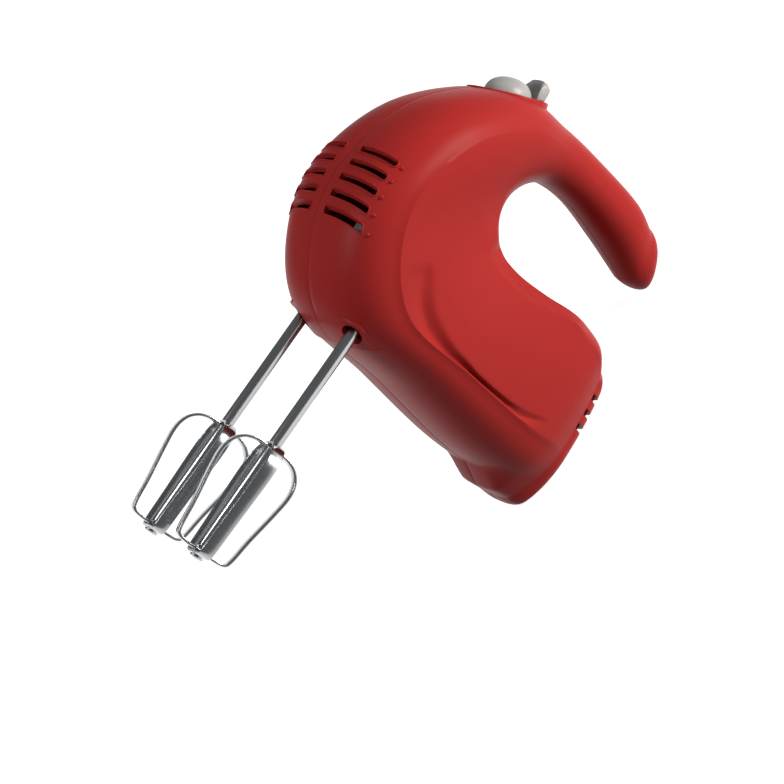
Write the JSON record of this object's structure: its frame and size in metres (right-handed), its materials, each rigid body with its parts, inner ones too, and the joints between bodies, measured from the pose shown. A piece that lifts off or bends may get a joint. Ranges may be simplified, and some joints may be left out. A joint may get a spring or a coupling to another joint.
{
  "type": "hand mixer",
  "caption": "Electric hand mixer with a C-shaped red housing, open-backed handle, a top dial with an eject button, and chromed strip beaters, standing on its heel",
  "frame": {"origin": "centre of the flat heel the mixer stands on", "axes": "+Z is the front of the mixer and points up while it stands on its heel; +X is the top of the mixer, so the beaters lie level and point to -X; +Y is the right side of the mixer"},
  "size_m": [0.2775, 0.0848, 0.184],
  "materials": {
    "housing_red": "glossy moulded red",
    "control_grey": "satin light grey",
    "black_plastic": "satin black",
    "nylon": "natural nylon",
    "steel": "zinc plated or ground",
    "chromed_steel": "bright chrome plate",
    "motor_iron": "varnished laminations",
    "copper": "enamelled copper",
    "bronze": "sintered bronze",
    "carbon": "carbon",
    "circuit_board": "green board",
    "cast_aluminium": "as cast"
  },
  "bodies": {
    "housing": {"control_base": "black_plastic", "cord_bush": "black_plastic", "cover_screw_1": "steel", "cover_screw_2": "steel", "eject_guide": "black_plastic", "front_bearing": "bronze", "gear_cover": "cast_aluminium", "gear_frame": "cast_aluminium", "housing_screw_1": "steel", "housing_screw_2": "steel", "housing_screw_3": "steel", "housing_screw_4": "steel", "housing_screw_5": "steel", "housing_screw_6": "steel", "housing_screw_7": "steel", "left_brush": "carbon", "left_brush_holder": "bronze", "left_gear_bush": "bronze", "left_housing": "housing_red", "lower_field_coil": "copper", "middle_bearing": "bronze", "motor_screw_1": "steel", "motor_screw_2": "steel", "rear_bearing": "bronze", "rear_motor_frame": "black_plastic", "right_brush": "carbon", "right_brush_holder": "bronze", "right_gear_bush": "bronze", "right_housing": "housing_red", "speed_switch": "black_plastic", "stator_core": "motor_iron", "switch_board": "circuit_board", "upper_field_coil": "copper"},
    "armature": {"armature_shaft": "steel", "worm": "steel", "armature_core": "motor_iron", "front_winding": "copper", "rear_winding": "copper", "commutator": "copper", "cooling_fan": "nylon"},
    "left_gear": {"left_gear": "nylon"},
    "right_gear": {"right_gear": "nylon"},
    "left_beater": {"left_beater_tube": "chromed_steel", "left_outer_loop": "chromed_steel", "left_inner_loop": "chromed_steel", "left_rivet": "chromed_steel"},
    "right_beater": {"right_beater_tube": "chromed_steel", "right_outer_loop": "chromed_steel", "right_inner_loop": "chromed_steel", "right_rivet": "chromed_steel"},
    "eject_button": {"eject_button": "control_grey", "eject_spring": "steel"},
    "eject_rod": {"eject_rod": "nylon"},
    "speed_selector": {"speed_selector": "control_grey"}
  },
  "joints": [
    {"name": "armature_spin", "type": "hinge", "parent": "housing", "child": "armature", "pos_m": [0.004, 0, 0.091], "axis": [0, 0, 1], "continuous": true},
    {"name": "left_gear_spin", "type": "hinge", "parent": "housing", "child": "left_gear", "pos_m": [0.004, -0.022, 0.141], "axis": [1, 0, 0], "continuous": true},
    {"name": "right_gear_spin", "type": "hinge", "parent": "housing", "child": "right_gear", "pos_m": [0.004, 0.022, 0.141], "axis": [1, 0, 0], "continuous": true},
    {"name": "eject_press", "type": "slide", "parent": "housing", "child": "eject_button", "axis": [-0.9026, 0, -0.4305], "range_m": [0, 0.006], "stiffness_N_per_m": 500},
    {"name": "eject_rod_slide", "type": "slide", "parent": "housing", "child": "eject_rod", "axis": [-1, 0, 0], "range_m": [0, 0.006]},
    {"name": "left_beater_eject", "type": "slide", "parent": "left_gear", "child": "left_beater", "axis": [-1, 0, 0], "range_m": [0, 0.006]},
    {"name": "right_beater_eject", "type": "slide", "parent": "right_gear", "child": "right_beater", "axis": [-1, 0, 0], "range_m": [0, 0.006]},
    {"name": "speed_select", "type": "hinge", "parent": "housing", "child": "speed_selector", "pos_m": [0.1155, 0, 0.133], "axis": [0.9026, 0, 0.4305], "range_deg": [-20, 40]}
  ],
  "couplings": [
    {"joint": "left_gear_spin", "follows": "armature_spin", "ratio": -0.083333},
    {"joint": "right_gear_spin", "follows": "armature_spin", "ratio": 0.083333},
    {"joint": "eject_rod_slide", "follows": "eject_press", "ratio": 1},
    {"joint": "left_beater_eject", "follows": "eject_press", "ratio": 1},
    {"joint": "right_beater_eject", "follows": "eject_press", "ratio": 1}
  ]
}
